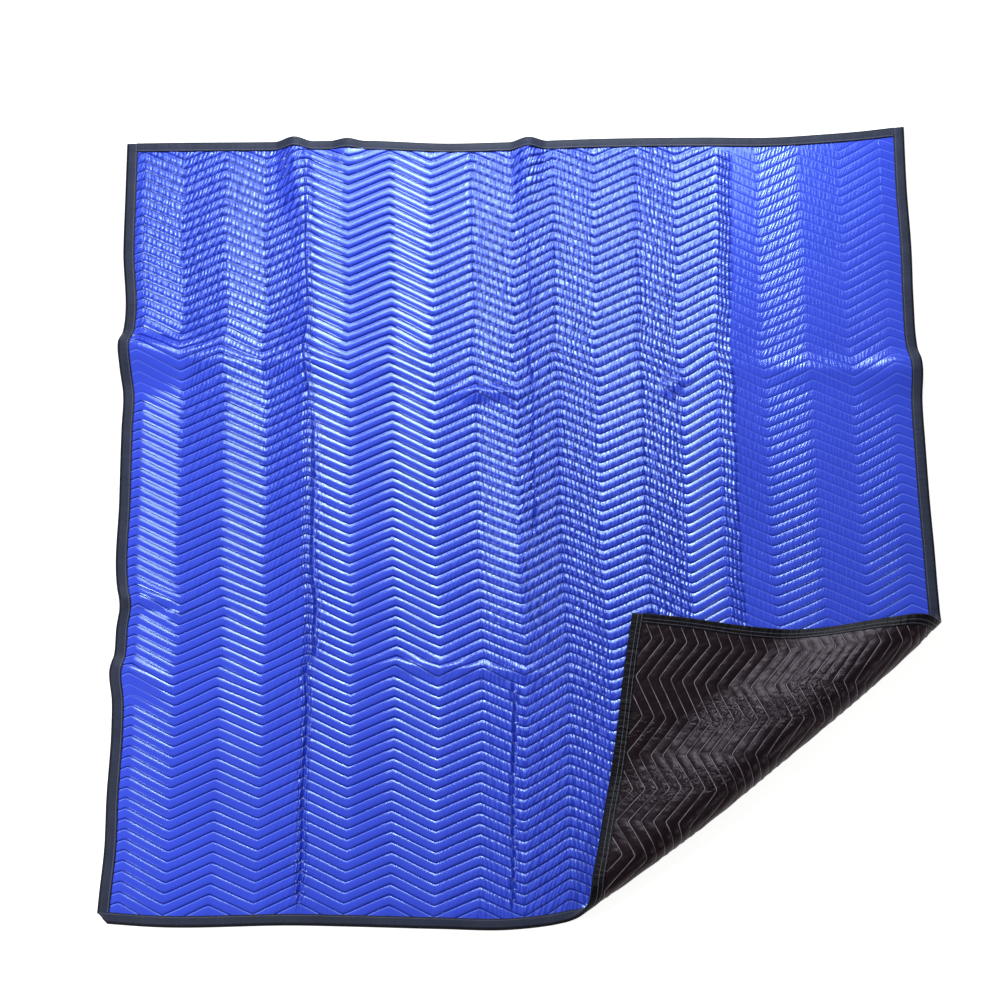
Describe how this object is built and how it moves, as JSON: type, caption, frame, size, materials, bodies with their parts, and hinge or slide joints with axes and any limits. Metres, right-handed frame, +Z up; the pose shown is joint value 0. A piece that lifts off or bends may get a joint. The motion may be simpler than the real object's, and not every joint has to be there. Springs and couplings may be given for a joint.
{
  "type": "moving blanket",
  "caption": "Quilted rectangular moving blanket with a glossy blue face, black back and dark taped edges, lying flat with one corner turned back.",
  "frame": {"origin": "middle of the blanket's extent, on the floor that it lies on", "axes": "+X across the blanket to the right, +Y along its height away from the turned corner, +Z up from the floor"},
  "size_m": [1.8358, 2.0576, 0.073],
  "materials": {
    "face_cloth": "glossy woven blue cloth, quilted in zigzag rows with blue thread",
    "back_cloth": "black woven cloth, quilted in the same rows, with pale thread",
    "edge_tape": "dark charcoal woven tape, folded round the edge and stitched twice"
  },
  "bodies": {
    "root": {"face_panel": "face_cloth", "back_panel": "back_cloth", "binding_left": "edge_tape", "binding_right": "edge_tape", "binding_top": "edge_tape", "binding_bottom": "edge_tape"}
  },
  "joints": []
}
